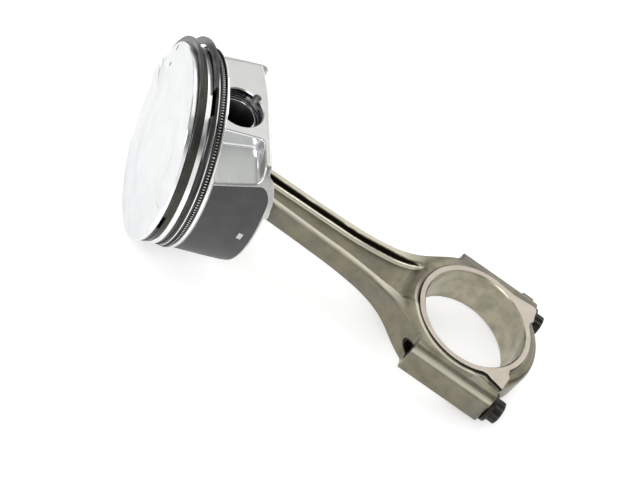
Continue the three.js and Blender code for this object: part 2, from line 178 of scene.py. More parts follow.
def surface(field, low, high, step=FIELD_STEP):
    """Vertices and quads of the surface where the field is 0, on a grid of that step.

    Each grid cell that the surface crosses has one vertex, at the mean of its edges' crossings,
    and each crossed grid edge has one quad between the four cells round it.
    """
    axes = [np.arange(a, b + step, step) for a, b in zip(low, high)]
    values = field(*np.meshgrid(*axes, indexing="ij"))
    cells = np.array(values.shape) - 1
    total = np.zeros((3, cells.prod()))
    count = np.zeros(cells.prod())
    quads = []
    for axis in range(3):
        u, v = [k for k in range(3) if k != axis]
        before = tuple(slice(None, -1) if k == axis else slice(None) for k in range(3))
        after = tuple(slice(1, None) if k == axis else slice(None) for k in range(3))
        a, b = values[before], values[after]
        edges = np.argwhere((a < 0) != (b < 0))
        va, vb = a[tuple(edges.T)], b[tuple(edges.T)]
        crossing = edges.astype(float)
        crossing[:, axis] += va / (va - vb)
        corners = []
        for du, dv in ((0, 0), (1, 0), (1, 1), (0, 1)):
            cell = edges.copy()
            cell[:, u] -= du
            cell[:, v] -= dv
            flat = np.ravel_multi_index(cell.T, cells)
            corners.append(flat)
            count += np.bincount(flat, minlength=count.size)
            for k in range(3):
                total[k] += np.bincount(flat, weights=crossing[:, k], minlength=count.size)
        quad = np.stack(corners, 1)
        flip = (va >= 0) != (axis == 1)
        quad[flip] = quad[flip, ::-1]
        quads.append(quad)
    used = np.flatnonzero(count)
    index = np.zeros(count.size, np.int64)
    index[used] = np.arange(used.size)
    points = (total[:, used] / count[used]).T * step + np.array(low, float)
    return settle(field, points, step), index[np.concatenate(quads)]


def settle(field, points, step):
    """Moves points along the field's slope until they lie on its surface."""
    reach = 0.05
    gentlest = 0.3
    furthest = 0.6 * step
    for _ in range(3):
        value = field(*points.T)
        slope = np.stack(
            [field(*(points + e).T) - field(*(points - e).T) for e in np.eye(3) * reach], 1
        ) / (2 * reach)
        steepness = np.maximum((slope**2).sum(1), gentlest)
        move = np.clip(value / steepness, -furthest, furthest)
        points = points - move[:, None] * slope
    return points


# ---- meshes ----


def shift(x, y, z):
    return Matrix.Translation((x, y, z))


def rotation(degrees, axis):
    return Matrix.Rotation(math.radians(degrees), 4, axis)


def add_object(name, data):
    obj = bpy.data.objects.new(name, data)
    bpy.context.scene.collection.objects.link(obj)
    return obj


def new_object(name, points, faces, place=None):
    """An object whose mesh is in local millimetres until it is finished."""
    mesh = bpy.data.meshes.new(name)
    mesh.from_pydata([tuple(p) for p in points], [], [tuple(int(i) for i in f) for f in faces])
    if place:
        mesh.transform(place)
    mesh.update()
    return add_object(name, mesh)


def turned(profile, segments, start=0.0, sweep=2 * math.pi, radius_at=None):
    """A closed [radius, height] outline turned about z, by a full turn or part of one."""
    full = abs(sweep - 2 * math.pi) < 1e-6
    columns = segments if full else segments + 1
    points, faces = [], []
    for c in range(columns):
        angle = start + sweep * c / segments
        for radius, height in profile:
            r = radius_at(radius, angle) if radius_at else radius
            points.append((r * math.cos(angle), r * math.sin(angle), height))
    n = len(profile)
    for c in range(segments):
        a, b = c * n, ((c + 1) % columns) * n
        for k in range(n):
            m = (k + 1) % n
            faces.append((a + k, b + k, b + m, a + m))
    if not full:
        faces.append(tuple(range(n)))
        faces.append(tuple(range((columns - 1) * n + n - 1, (columns - 1) * n - 1, -1)))
    return points, faces


def solid_of_turn(profile, segments):
    """A solid outline that starts and ends on the axis, turned about z."""
    rim = profile[1:-1]
    points, faces = [], []
    for c in range(segments):
        angle = 2 * math.pi * c / segments
        points += [(r * math.cos(angle), r * math.sin(angle), h) for r, h in rim]
    low, high = len(points), len(points) + 1
    points += [(0, 0, profile[0][1]), (0, 0, profile[-1][1])]
    n = len(rim)
    for c in range(segments):
        a, b = c * n, ((c + 1) % segments) * n
        faces += [(a + k, b + k, b + k + 1, a + k + 1) for k in range(n - 1)]
        faces.append((low, b, a))
        faces.append((high, a + n - 1, b + n - 1))
    return points, faces


def skin(rows):
    """A closed skin over rows of points, round every row and flat over the first and last."""
    sides = len(rows[0])
    last = (len(rows) - 1) * sides
    faces = []
    for k in range(0, last, sides):
        for s in range(sides):
            a, b = k + s, k + (s + 1) % sides
            faces.append((a, b, b + sides, a + sides))
    faces.append(tuple(range(sides - 1, -1, -1)))
    faces.append(tuple(range(last, last + sides)))
    return [point for row in rows for point in row], faces


def prism(outline, low, high):
    """A straight prism between two heights over a closed x-y outline that runs anticlockwise."""
    n = len(outline)
    points = [(x, y, low) for x, y in outline] + [(x, y, high) for x, y in outline]
    faces = [tuple(range(n - 1, -1, -1)), tuple(range(n, 2 * n))]
    faces += [(k, (k + 1) % n, n + (k + 1) % n, n + k) for k in range(n)]
    return points, faces


def cut(obj, solid, place=None, operation="DIFFERENCE"):
    """Cuts a solid away from obj, or keeps what they share. Both are in the same local frame."""
    tool = new_object("cutter", *solid, place)
    before = len(obj.data.polygons)
    modifier = obj.modifiers.new("cut", "BOOLEAN")
    modifier.operation = operation
    modifier.object = tool
    modifier.solver = "MANIFOLD"
    graph = bpy.context.evaluated_depsgraph_get()
    result = bpy.data.meshes.new_from_object(obj.evaluated_get(graph))
    obj.modifiers.clear()
    old, obj.data = obj.data, result
    result.name = obj.name
    bpy.data.meshes.remove(old)
    spent = tool.data
    bpy.data.objects.remove(tool)
    bpy.data.meshes.remove(spent)
    if not result.polygons or len(result.polygons) == before:
        raise RuntimeError(f"a cut in {obj.name} did nothing")


def finish(obj, place, body, replaces, materials, choose=None, sharp=35, shade=None):
    """Puts obj in the row frame, with its materials, and ties it to the frame's body and nodes.

    It has the first material but where choose, from each face's place and direction, gives
    another. shade gives each point a value: painted shade above 0, painted highlight below 0.
    """
    mesh = obj.data
    mesh.materials.clear()
    for material in materials:
        mesh.materials.append(material)
    count = len(mesh.polygons)
    index = np.zeros(count, np.int32)
    if choose:
        centres, normals = np.zeros(count * 3), np.zeros(count * 3)
        mesh.polygons.foreach_get("center", centres)
        mesh.polygons.foreach_get("normal", normals)
        for material, where in choose(centres.reshape(-1, 3).T, normals.reshape(-1, 3).T):
            index[where] = materials.index(material)
    if shade:
        corners = len(mesh.vertices)
        points, normals = np.zeros(corners * 3), np.zeros(corners * 3)
        mesh.vertices.foreach_get("co", points)
        mesh.vertices.foreach_get("normal", normals)
        layer = mesh.attributes.new("shade", "FLOAT", "POINT")
        values = shade(points.reshape(-1, 3).T, normals.reshape(-1, 3).T)
        layer.data.foreach_set("value", values.astype(np.float32))
    mesh.polygons.foreach_set("material_index", index)
    mesh.polygons.foreach_set("use_smooth", np.ones(count, bool))
    mesh.set_sharp_from_angle(angle=math.radians(sharp))
    mesh.transform(place)
    mesh.update()
    if replaces:
        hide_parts(*replaces)
    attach(obj, body)


# ---- materials ----

RANGE_SOCKETS = ("From Min", "From Max", "To Min", "To Max")
MIX_FACTOR, MIX_FROM, MIX_TO = 0, 6, 7  # a colour Mix node's inputs
MIX_RESULT = 2  # and its output


def set_range(node, *numbers):
    """Sets what a Map Range node maps from and to."""
    for socket, number in zip(RANGE_SOCKETS, numbers):
        node.inputs[socket].default_value = number


class Paint:
    """A procedural metal: a Principled shader with nodes for colour, roughness and bump."""

    def __init__(self, name, colour, roughness, metallic=1.0, place=ROD):
        self.material = bpy.data.materials.new(name)
        self.material.use_nodes = True
        self.tree = self.material.node_tree
        self.shader = self.tree.nodes["Principled BSDF"]
        self.shader.inputs["Base Color"].default_value = (*colour, 1)
        self.shader.inputs["Roughness"].default_value = roughness
        self.shader.inputs["Metallic"].default_value = metallic
        self.height = None
        self.coords = self._local(place)

    def node(self, kind, **settings):
        node = self.tree.nodes.new(kind)
        for key, value in settings.items():
            setattr(node, key, value)
        return node

    def link(self, a, b):
        self.tree.links.new(a, b)

    def _local(self, place):
        """The surface's place in that local frame, in millimetres."""
        position = self.node("ShaderNodeTexCoord").outputs["Object"]
        mapping = self.node("ShaderNodeMapping")
        back = place.inverted()
        mapping.inputs["Scale"].default_value = (1 / MM,) * 3
        mapping.inputs["Rotation"].default_value = back.to_euler()
        mapping.inputs["Location"].default_value = back.translation
        self.link(position, mapping.inputs["Vector"])
        return mapping.outputs["Vector"]

    def noise(self, size, detail):
        """Noise from 0 to 1 whose lumps are about size millimetres across."""
        noise = self.node("ShaderNodeTexNoise")
        noise.inputs["Scale"].default_value = 1 / size
        noise.inputs["Detail"].default_value = detail
        noise.inputs["Roughness"].default_value = 0.55
        self.link(self.coords, noise.inputs["Vector"])
        return noise.outputs["Fac"]

    def ramp(self, value, low, high, out_low=0.0, out_high=1.0):
        """The value stretched from one range to another, and kept inside it."""
        node = self.node("ShaderNodeMapRange")
        set_range(node, low, high, out_low, out_high)
        self.link(value, node.inputs["Value"])
        return node.outputs["Result"]

    def math(self, operation, a, b=0.0):
        node = self.node("ShaderNodeMath", operation=operation)
        for socket, value in zip(node.inputs, (a, b)):
            if isinstance(value, (int, float)):
                socket.default_value = value
            else:
                self.link(value, socket)
        return node.outputs[0]

    def parts(self):
        """The local x, y and z of the surface."""
        node = self.node("ShaderNodeSeparateXYZ")
        self.link(self.coords, node.inputs[0])
        return node.outputs

    def tint(self, factor, colour):
        """Mixes the colour so far towards another one where factor is 1."""
        mix = self.node("ShaderNodeMix", data_type="RGBA")
        base = self.shader.inputs["Base Color"]
        if base.is_linked:
            self.link(base.links[0].from_socket, mix.inputs[MIX_FROM])
        else:
            mix.inputs[MIX_FROM].default_value = base.default_value
        mix.inputs[MIX_TO].default_value = (*colour, 1)
        self.link(factor, mix.inputs[MIX_FACTOR])
        self.link(mix.outputs[MIX_RESULT], base)
        return self

    def paint_light_and_shade(self, dark, bright):
        """Mixes in painted shade, a dark colour, where the mesh's shade layer is above 0, and a
        painted highlight, a bright one, below.
        """
        layer = self.node("ShaderNodeAttribute", attribute_name="shade").outputs["Fac"]
        self.tint(self.ramp(layer, 0, 1), dark)
        return self.tint(self.ramp(layer, 0, -1), bright)

    def vary_roughness(self, factor, low, high):
        """Lets the roughness follow the middle of a noise."""
        self.link(self.ramp(factor, 0.3, 0.7, low, high), self.shader.inputs["Roughness"])

    def relief(self, factor, depth):
        """Adds bump of that depth, in millimetres, from a factor of 0 to 1."""
        scaled = self.math("MULTIPLY", factor, depth)
        self.height = scaled if self.height is None else self.math("ADD", self.height, scaled)

    def done(self):
        """The finished material, with its relief as bump."""
        if self.height is not None:
            bump = self.node("ShaderNodeBump")
            bump.inputs["Distance"].default_value = MM
            bump.inputs["Strength"].default_value = 1.0
            self.link(self.height, bump.inputs["Height"])
            self.link(bump.outputs["Normal"], self.shader.inputs["Normal"])
        return self.material


def turning_marks(paint, centre, pitch, along_axis=False):
    """Fine tool marks: rings round a centre, or turns up the piston's axis."""
    x, y, z = paint.parts()
    if along_axis:
        reach = z
    else:
        dx = paint.math("SUBTRACT", x, centre[0])
        dy = paint.math("SUBTRACT", y, centre[1])
        squares = paint.math("ADD", paint.math("MULTIPLY", dx, dx), paint.math("MULTIPLY", dy, dy))
        reach = paint.math("SQRT", squares)
    wave = paint.math("SINE", paint.math("MULTIPLY", reach, 2 * math.pi / pitch))
    return paint.ramp(wave, -1, 1)


def aluminium(name, colour, roughness, grain, depth, marks=None):
    """Aluminium with that size and depth of grain, and marks of (pitch, along axis, depth)."""
    paint = Paint(name, colour, roughness, place=PISTON)
    cloud = paint.noise(9, 4)
    fine = paint.noise(grain, 2)
    paint.tint(paint.ramp(cloud, 0.35, 0.75, 0, 0.5), tuple(0.86 * c for c in colour))
    paint.vary_roughness(fine, roughness * 0.8, roughness * 1.25)
    paint.relief(fine, depth)
    if marks:
        pitch, along_axis, mark_depth = marks
        paint.relief(turning_marks(paint, (0, 0), pitch, along_axis), mark_depth)
    return paint.done()


def steel(name, colour, dark, roughness, grain, depth, place=ROD, metallic=1.0):
    """A steel or other plain metal that is clouded with a darker colour; done() finishes it."""
    paint = Paint(name, colour, roughness, metallic, place)
    cloud = paint.noise(7, 5)
    fine = paint.noise(grain, 2)
    paint.tint(paint.ramp(cloud, 0.4, 0.7), dark)
    paint.vary_roughness(fine, roughness * 0.85, roughness * 1.2)
    paint.relief(fine, depth)
    return paint


TURNED_CROWN = (0.5, False, 0.0015)
TURNED_LAND = (0.28, True, 0.0035)
TURNED_RELIEF = (0.24, True, 0.006)

CROWN_WHITE = aluminium("crown_machined", (0.71, 0.72, 0.725), 0.42, 0.5, 0.002, TURNED_CROWN)
CAST = aluminium("aluminium_cast", (0.52, 0.53, 0.505), 0.45, 0.5, 0.02)
# A brighter, glossier copy of the machined aluminium: painted highlight in the weight pockets.
POCKET = aluminium("aluminium_pocket_painted_highlight", (0.95, 0.95, 0.97), 0.16, 0.5, 0.004)
MACHINED = aluminium("aluminium_machined", (0.52, 0.52, 0.50), 0.26, 0.3, 0.004)
LAND = aluminium("land_turned", (0.86, 0.86, 0.86), 0.16, 0.3, 0.001, TURNED_LAND)
# The relieved lands are near black, much darker than the turned lands.
RELIEF = aluminium("land_relieved", (0.06, 0.06, 0.05), 0.3, 0.3, 0.002, TURNED_RELIEF)
# Near-black aluminium: painted shade in the ring grooves, the crown's marks and the expander's
# valleys.
GROOVE = aluminium("groove_painted_shade", (0.06, 0.06, 0.06), 0.4, 0.3, 0.002)
BORE_FACE = aluminium("pin_bore_honed", (0.42, 0.42, 0.43), 0.22, 0.3, 0.002)


def coating_material():
    paint = Paint("skirt_coating_graphite", (0.052, 0.052, 0.055), 0.5, 0.25, PISTON)
    speck = paint.noise(0.22, 2)
    cloud = paint.noise(12, 3)
    paint.tint(paint.ramp(cloud, 0.35, 0.7), (0.072, 0.072, 0.074))
    paint.tint(paint.ramp(speck, 0.66, 0.74, 0, 0.35), (0.2, 0.2, 0.2))
    paint.vary_roughness(speck, 0.42, 0.6)
    paint.relief(speck, 0.012)
    return paint.done()


def forged_material():
    """Brown-grey forging scale, with greyer patches, and painted shade and painted highlights from
    the mesh's shade layer.
    """
    paint = steel("rod_forged", (0.262, 0.241, 0.172), (0.192, 0.176, 0.128), 0.32, 0.45, 0.03)
    paint.tint(paint.ramp(paint.noise(15, 2), 0.5, 0.68, 0, 0.6), (0.2, 0.196, 0.18))
    # Painted shade in near black where the shade layer is above 0, painted highlight in pale brown
    # below 0.
    return paint.paint_light_and_shade((0.022, 0.020, 0.015), (0.56, 0.53, 0.43)).done()


def ground_material():
    """The ground thrust faces, with fine rings round the crankpin."""
    paint = steel("rod_ground_face", (0.42, 0.375, 0.32), (0.37, 0.33, 0.28), 0.36, 0.25, 0.003)
    paint.relief(turning_marks(paint, (CENTRES, 0), 0.35), 0.002)
    return paint.done()


def piston_steel(name, colour, dark, roughness, grain, depth, metallic=1.0):
    """A plain steel on a piece that moves with the piston."""
    return steel(name, colour, dark, roughness, grain, depth, PISTON, metallic).done()


COATING = coating_material()
FORGED = forged_material()
GROUND = ground_material()
BORED = steel("rod_bore", (0.42, 0.39, 0.30), (0.27, 0.26, 0.19), 0.27, 0.3, 0.003).done()
OXIDE_BLACK, OXIDE_DARK = (0.045, 0.044, 0.039), (0.024, 0.023, 0.02)
PHOSPHATE_GREY, PHOSPHATE_DARK = (0.055, 0.056, 0.053), (0.025, 0.025, 0.025)
BLACK_OXIDE = steel("bolt_black_oxide", OXIDE_BLACK, OXIDE_DARK, 0.36, 0.3, 0.01).done()
PHOSPHATE = piston_steel("ring_phosphated", PHOSPHATE_GREY, PHOSPHATE_DARK, 0.28, 0.3, 0.004, 0.6)
RAIL = piston_steel("rail_steel", (0.10, 0.10, 0.095), (0.07, 0.07, 0.065), 0.25, 0.3, 0.002)
SPRING = piston_steel("expander_steel", (0.85, 0.85, 0.80), (0.7, 0.7, 0.66), 0.3, 0.3, 0.004)
CLIP = piston_steel("circlip_black", (0.05, 0.05, 0.055), (0.03, 0.03, 0.03), 0.22, 0.3, 0.004)
PIN_STEEL = piston_steel("pin_ground", (0.52, 0.52, 0.53), (0.46, 0.46, 0.47), 0.14, 0.25, 0.0015)
# Near-black steel: painted shade inside the hollow pin.
PIN_BORE = piston_steel("pin_inside", (0.10, 0.10, 0.10), (0.07, 0.07, 0.07), 0.4, 0.3, 0.006)
BRONZE = steel("bush_bronze", (0.62, 0.45, 0.22), (0.5, 0.36, 0.18), 0.25, 0.3, 0.003).done()


# ---- piston ----

BAY_ROD = 10.8  # half width of the gap for the rod's small end
BAY_THRUST = 23.0  # half width of the hollow beside the bosses, thrust side
BAY_PLAIN = 29.0  # and plain side
BOSS_RADIUS = 15.0
BELL_RADIUS = 43.0  # inside of the skirts
BELL_TAPER = 4.7  # the bell is this much narrower behind the ring belt
ROOF = 19.5  # underside of the crown
POCKET_SIDE = 15.5  # weight pocket beside each boss, on the thrust side
POCKET_BOTTOM = -11.0
POCKET_FLOOR = 26.3  # at the pin's height; it leans out downwards
CORNER_LEAN = math.radians(51)
CORNER_REACH = 44.5  # flats between the skirts and the boss faces
SKIRT_ARC = 25.5  # a skirt's foot rises beyond this, measured round the piston
SKIRT_ARC_END = 36.5
SKIRT_RISE = 0.378
SKIRT_SPLIT = 33.5  # the foot is cut away between the skirts up to this x
BOW_MIDDLE = 8.0  # the cut's edge is a bow, lowest here
BOW_LOW = -15.3
FOOT = -18.2  # each skirt ends a little higher, but for its corner on the front clip's side
FOOT_REACH = 15.0  # that corner starts here, measured round the piston
MARK_HALF = 0.5
CROWN_MARKS = [(-36.0, 24.4, 3.6), (-33.5, 15.8, 2.6), (-37.1, -26.6, 2.4)]  # x, y, length


def piston_field(x, y, z):
    """The casting, before its outside, grooves, bores and crown are machined."""
    ay = np.abs(y)
    r = np.hypot(x, y)
    body = np.maximum(r - (CYLINDER - 0.03), np.maximum(SKIRT_BOTTOM - z, z - (CROWN + 3)))
    # The hollow: a bell under the crown, filled round the bosses but for the rod's gap.
    bell_radius = BELL_RADIUS - BELL_TAPER * smooth_step(z, 3.0, 11.0)
    bell = soft_max(r - bell_radius, z - ROOF, 4.0)
    boss = np.hypot(x, np.minimum(z + 1, 0)) - BOSS_RADIUS
    bays = soft_max(-boss, np.where(x > 0, ay - BAY_THRUST, ay - BAY_PLAIN), 5.0)
    bays = soft_min(bays, ay - BAY_ROD, 3.0)
    body = soft_max(body, -soft_max(bell, bays, 3.0), 1.0)
    # The boss faces, the weight pockets and the flats at the skirts' sides, all under the belt.
    under_belt = z - BELT_BOTTOM
    flats = soft_max(BOSS_FACE - ay, under_belt, 2.0)
    body = soft_max(body, -flats, 0.8)
    floor = POCKET_FLOOR - 0.19 * z
    pocket = soft_max(floor - ay, POCKET_SIDE - x, 2.0)
    pocket = soft_max(pocket, POCKET_BOTTOM - z, 3.0)
    pocket = soft_max(pocket, under_belt, 2.0)
    body = soft_max(body, -pocket, 1.0)
    corner_reach = CORNER_REACH + 0.078 * (6.5 - z)
    corner = np.abs(x) * math.cos(CORNER_LEAN) + ay * math.sin(CORNER_LEAN) - corner_reach
    body = soft_max(body, np.minimum(corner, -under_belt), 0.8)
    # The foot: it rises round each skirt, has a step in the middle and is bowed in between.
    reach = CYLINDER * np.arctan2(y, np.abs(x))
    arc = np.minimum(np.abs(reach), SKIRT_ARC_END)
    body = soft_max(body, (SKIRT_BOTTOM - z + SKIRT_RISE * (arc - SKIRT_ARC)) * 0.93, 3.0)
    body = soft_max(body, -soft_max(z - FOOT, reach - FOOT_REACH, 1.2), 0.8)
    bow = np.where(x < BOW_MIDDLE, 0.0023, 0.0016) * (x - BOW_MIDDLE) ** 2
    split = soft_max(z - (bow + BOW_LOW), np.abs(x) - SKIRT_SPLIT, 1.6)
    return soft_max(body, -split, 0.8)


def crown_outline():
    """The piston's outside above the skirt, as one turned outline from the axis to the axis."""
    edge = 0.18
    outline = [(0, SKIRT_BOTTOM - 2), (CYLINDER + 2, SKIRT_BOTTOM - 2), (CYLINDER + 2, 9.3)]
    outline += [(CYLINDER - 0.3, 9.3), (CYLINDER, BELT_BOTTOM + 0.3)]

    def groove(low, high, root):
        side = [(CYLINDER, low - edge), (CYLINDER - edge, low), (root + 0.3, low), (root, low + 0.3)]
        middle = (low + high) / 2
        return side + [(r, 2 * middle - h) for r, h in reversed(side)]

    outline += groove(*OIL_GROOVE, GROOVE_ROOT + 0.9)
    outline += [(CYLINDER, SECOND_RELIEF)]
    second = groove(*SECOND_GROOVE, GROOVE_ROOT)
    outline += [(CYLINDER - 0.55, SECOND_GROOVE[0] - edge)] + second[1:]
    top = groove(*TOP_GROOVE, GROOVE_ROOT)
    outline += [(CYLINDER, TOP_RELIEF), (CYLINDER - 0.4, TOP_RELIEF + 0.15)]
    outline += [(CYLINDER - 0.4, TOP_GROOVE[0] - edge)] + top[1:]
    outline += [(CYLINDER, CROWN - 0.7), (CYLINDER - 0.2, CROWN - 0.2), (CYLINDER - 0.7, CROWN)]
    outline += [(30.5, CROWN), (29.6, CROWN - 0.2), (28.2, CROWN - 0.8), (27, CROWN - 0.95)]
    outline += [(0, CROWN - 0.95)]
    return outline


def bore_outline(radius, half, groove_at, groove_radius, groove_half, chamfer):
    """The pin bore with a clip groove near each end, as an outline from the axis to the axis."""
    groove_low, groove_high = groove_at - groove_half, groove_at + groove_half
    side = [(radius, groove_low), (groove_radius, groove_low)]
    side += [(groove_radius, groove_high), (radius, groove_high)]
    side += [(radius, half - chamfer), (radius + chamfer, half), (radius + chamfer, half + 3)]
    mirrored = [(r, -h) for r, h in reversed(side)]
    return [(0, -half - 3)] + mirrored + side + [(0, half + 3)]


def cut_clip_notches(piston):
    """The notch at each boss's edge where a circlip is pulled out."""
    low, high = CLIP_AT - 0.8, 40
    notch = [(0, -high), (1.9, -high), (1.9, -low), (0, -low)]
    for end in (1, -1):
        cut(piston, solid_of_turn(notch, 32), shift(-8.5, 0, -8.5) @ rotation(end * 90, "X"))


def cut_oil_drains(piston):
    """Holes from the oil groove into the bell."""
    drill = [(0, 36), (1.15, 36), (1.15, 47), (0, 47)]
    for degrees in (28, 52, 128, 152, 208, 232, 308, 332):
        place = rotation(degrees, "Z") @ shift(0, 0, sum(OIL_GROOVE) / 2) @ rotation(90, "Y")
        cut(piston, solid_of_turn(drill, 20), place)


def cut_valve_pockets(piston):
    """Four shallow pockets in the crown, tilted as the valves are."""
    pocket = [(0, 0), (14.5, 0), (17, 0.3), (18.5, 0.9), (19, 8), (0, 8)]
    for end in (1, -1):
        for side in (1, -1):
            place = shift(end * 31, side * 19, CROWN - 0.7) @ rotation(end * 2.5, "Y")
            cut(piston, solid_of_turn(pocket, 96), place)


def cut_crown_marks(piston):
    """Plain slots in the crown."""
    for x, y, length in CROWN_MARKS:
        left, right = x - MARK_HALF, x + MARK_HALF
        low, high = y - length / 2, y + length / 2
        slot = [(left, low), (right, low), (right, high), (left, high)]
        cut(piston, prism(slot, CROWN - 2, CROWN + 1))


def build_piston():
    points, quads = surface(piston_field, (-47, -47, -21.5), (47, 47, 31.5))
    piston = new_object("piston_casting", points, quads)
    cut(piston, solid_of_turn(crown_outline(), 360), operation="INTERSECT")
    bore = bore_outline(PIN + 0.08, BOSS_FACE, CLIP_AT, 12.4, 1.0, 0.5)
    cut(piston, solid_of_turn(bore, 96), rotation(-90, "X"))
    cut_clip_notches(piston)
    cut_oil_drains(piston)
    cut_valve_pockets(piston)
    cut_crown_marks(piston)
    finishes = [MACHINED, CROWN_WHITE, CAST, LAND, RELIEF, GROOVE, BORE_FACE, POCKET]
    finish(piston, PISTON, "piston", ["piston"], finishes, choose_piston, sharp=44)


def choose_piston(at, facing):
    """The faces that are not plainly machined; a later rule beats an earlier one."""
    x, y, z = at
    ay = np.abs(y)
    r = np.hypot(x, y)
    outward = (facing[0] * x + facing[1] * y) / np.maximum(r, 0.01)
    beside_skirt = (z < BELT_BOTTOM - 0.5) & (r < 45.6) & (outward < 0.8)
    yield CAST, (ay < BOSS_FACE - 0.2) & (z < 20) & ((r < BELL_RADIUS + 0.2) | beside_skirt)
    # The weight pockets get the brighter aluminium as a painted highlight.
    pocket = (x > POCKET_SIDE - 1.5) & (ay > 24) & (ay < BOSS_FACE - 0.3) & (r < 40)
    pocket &= (z < BELT_BOTTOM) & (z > POCKET_BOTTOM - 2)
    yield POCKET, pocket & (np.abs(facing[1]) < 0.93)
    belt = (z > BELT_BOTTOM - 0.2) & (r > GROOVE_ROOT - 0.1)
    yield LAND, belt
    yield RELIEF, belt & (z > TOP_RELIEF + 0.07) & (z < TOP_GROOVE[0])
    yield RELIEF, belt & (z > SECOND_RELIEF + 0.01) & (z < SECOND_GROOVE[0])
    # Painted shade in the ring grooves.
    for low, high in (TOP_GROOVE, SECOND_GROOVE, OIL_GROOVE):
        yield GROOVE, belt & (z > low - 0.01) & (z < high + 0.01) & (r < CYLINDER - 0.1)
    crown = z > CROWN - 3
    yield CROWN_WHITE, crown & (facing[2] > 0.5)
    # Painted shade in the bottoms of the crown's marks.
    for mark_x, mark_y, length in CROWN_MARKS:
        near = (np.abs(x - mark_x) < MARK_HALF + 0.01) & (np.abs(y - mark_y) < length / 2 + 0.01)
        yield GROOVE, near & crown & (z < CROWN - 1)
    from_pin = np.hypot(x, z)
    bore = (from_pin > PIN - 0.1) & (from_pin < 12.6) & (ay > BAY_ROD + 0.1)
    yield BORE_FACE, bore & (np.abs(facing[1]) < 0.9)


COATING_LOW, COATING_HIGH = -17.2, 9.1
COATING_CORNER = -11.2  # below this height the printed patch's corners are rounded


def coating_edge(z):
    """Half angle of the printed skirt coating at each height."""
    side = math.radians(33.3) - math.radians(0.27) * z
    corner = np.sqrt(np.clip(1 - ((COATING_CORNER - z) / 6.4) ** 2, 0, 1))
    return np.where(z < COATING_CORNER, side - math.radians(15) * (1 - corner), side)


def build_coating(name, side):
    """A printed film on one skirt, with a small bare window near its foot on the thrust side."""
    rows = []
    for z in np.linspace(COATING_LOW, COATING_HIGH, 56):
        angles = float(coating_edge(z)) * np.linspace(-1, 1, 72)
        loop = [(CYLINDER + 0.02, angle) for angle in angles]
        loop += [(CYLINDER - 0.02, angle) for angle in reversed(angles)]
        rows.append([(side * r * math.cos(a), side * r * math.sin(a), z) for r, a in loop])
    film = new_object(name, *skin(rows))
    if side > 0:
        window = [(0.2, -13.0), (3.9, -13.2), (4.4, -10.9), (0.8, -10.6)]
        sideways = Matrix(((0, 0, 1, 0), (1, 0, 0, 0), (0, 1, 0, 0), (0, 0, 0, 1)))
        cut(film, prism(window, 40, 50), sideways)
    finish(film, PISTON, "piston", [], [COATING])


# ---- rings ----


def ring_section(inner, outer, low, high, round_off, bulge=0.0):
    """A ring's section with small chamfers and a slightly crowned running face."""
    lower = [(inner, low + round_off), (inner + round_off, low)]
    lower += [(outer - round_off, low), (outer, low + round_off)]
    upper = [(outer, high - round_off), (outer - round_off, high)]
    upper += [(inner + round_off, high), (inner, high - round_off)]
    return lower + [(outer + bulge, (low + high) / 2)] + upper


def build_ring(
    name, node, body, section, gap, gap_degrees, materials, choose=None, segments=360, radius_at=None
):
    """A split ring on its own joint, with its gap at that angle in the piston frame."""
    outer = max(r for r, _ in section)
    half = gap / (2 * outer)
    start, sweep = math.radians(gap_degrees) + half, 2 * math.pi - 2 * half
    ring = new_object(name, *turned(section, segments, start, sweep, radius_at))
    finish(ring, ring_frame(body + "_turn"), body, [node], materials, choose)


EXPANDER_TEETH = 220
EXPANDER_INNER = 42.8
EXPANDER_OUTER = 46.3
FOLD_DEPTH = 1.1


def expander_wave(radius, angle):
    """The expander's folds: its outer wall stands in and out round the ring."""
    if radius < EXPANDER_OUTER:
        return radius
    return radius - (FOLD_DEPTH if math.sin(angle * EXPANDER_TEETH) > 0 else 0.0)


def choose_fold(at, facing):
    """Painted shade in the valleys between the folds."""
    yield GROOVE, np.hypot(at[0], at[1]) < EXPANDER_OUTER - 0.3


def build_rings():
    top = ring_section(44.1, 47.4, 22.8, 24.3, 0.2)
    second = ring_section(44.6, 48.07, 16.15, 17.65, 0.15)
    upper = ring_section(44.0, 46.7, 13.5, 14.0, 0.1, 0.05)
    lower = ring_section(44.0, 46.7, 11.2, 11.7, 0.1, 0.05)
    wall = EXPANDER_OUTER - FOLD_DEPTH - 0.2
    folds = [(EXPANDER_INNER, 11.8), (wall, 11.8), (wall, 12.1), (EXPANDER_OUTER, 12.1)]
    folds += [(EXPANDER_OUTER, 13.1), (wall, 13.1), (wall, 13.4), (EXPANDER_INNER, 13.4)]
    build_ring("ring_top", "top_compression_ring", "top_ring", top, 8.7, -3, [PHOSPHATE])
    build_ring("ring_second", "second_compression_ring", "second_ring", second, 13.5, 71, [PHOSPHATE])
    build_ring("rail_upper", "oil_ring_upper_rail", "upper_rail", upper, 5, 200, [RAIL])
    build_ring("rail_lower", "oil_ring_lower_rail", "lower_rail", lower, 5, -110, [RAIL])
    build_ring(
        "expander_folds",
        "oil_ring_expander",
        "expander",
        folds,
        gap=0.6,
        gap_degrees=225,
        materials=[SPRING, GROOVE],
        choose=choose_fold,
        segments=EXPANDER_TEETH * 4,
        radius_at=expander_wave,
    )


# ---- wrist pin, clips and bush ----

PIN_INSIDE = 8.6  # radius at the pin's ends


def build_pin():
    """A hollow pin whose inside narrows towards the middle."""
    profile = [(6.5, -20.4), (PIN_INSIDE, -29.2), (PIN_INSIDE + 0.2, -29.4)]
    profile += [(PIN - 0.7, -29.4), (PIN - 0.2, -29.1), (PIN, -28.5)]
    profile += [(r, -h) for r, h in reversed(profile)]
    pin = new_object("pin_tube", *turned(profile, 192), rotation(-90, "X"))
    finish(pin, PISTON, "pin", ["wrist_pin"], [PIN_STEEL, PIN_BORE], choose_pin)


def choose_pin(at, facing):
    # Painted shade on the pin's inside.
    yield PIN_BORE, np.hypot(at[0], at[2]) < PIN_INSIDE - 0.05


